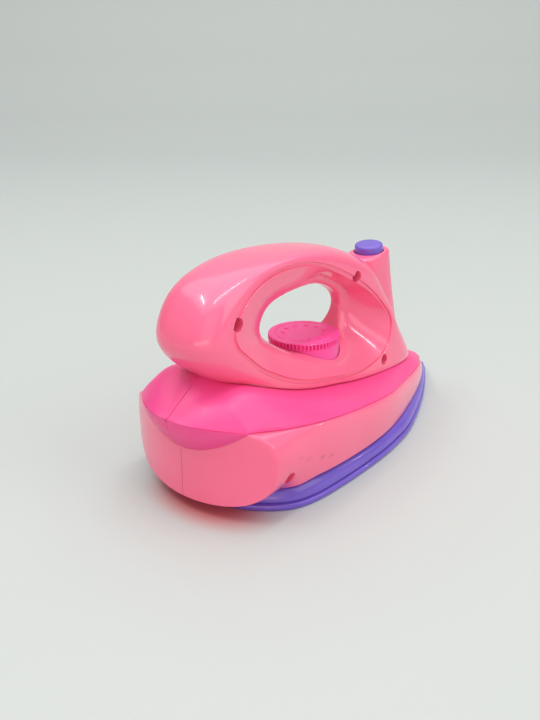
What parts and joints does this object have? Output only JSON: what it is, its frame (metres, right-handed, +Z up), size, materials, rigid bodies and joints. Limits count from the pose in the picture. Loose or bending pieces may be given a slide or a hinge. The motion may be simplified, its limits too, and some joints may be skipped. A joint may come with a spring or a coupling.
{
  "type": "toy iron",
  "caption": "Pretend-play iron with a pointed sole plate, two-tone split body, loop handle, knurled dial and a sprung push button on a tower.",
  "frame": {"origin": "middle of the bounding box, at the flat underside of the sole plate", "axes": "+X forward to the point of the sole, +Y to the left side, +Z up"},
  "size_m": [0.1836, 0.076, 0.0895],
  "materials": {
    "light_pink_plastic": "gloss",
    "hot_pink_plastic": "satin",
    "purple_plastic": "gloss",
    "screw_steel": "satin",
    "spring_steel": "satin"
  },
  "bodies": {
    "iron": {"sole_plate": "purple_plastic", "sole_screws": "screw_steel", "body_right": "light_pink_plastic", "body_left": "light_pink_plastic", "body_screw": "screw_steel", "deck_right": "hot_pink_plastic", "deck_left": "hot_pink_plastic", "deck_screws": "screw_steel", "handle_right": "light_pink_plastic", "handle_left": "light_pink_plastic", "handle_screws": "screw_steel", "saddle_screws": "screw_steel", "button_spring": "spring_steel"},
    "dial": {"dial": "hot_pink_plastic", "dial_washer": "screw_steel", "dial_screw": "screw_steel"},
    "button": {"spray_button": "purple_plastic"}
  },
  "joints": [
    {"name": "dial_turn", "type": "hinge", "parent": "iron", "child": "dial", "pos_m": [-0.01265, 0, 0.045], "axis": [0, 0, 1], "continuous": true},
    {"name": "button_press", "type": "slide", "parent": "iron", "child": "button", "axis": [0.1219, 0, -0.9925], "range_m": [0, 0.0028], "stiffness_N_per_m": 400, "springref_m": -0.004, "deforming": ["button_spring"]}
  ]
}
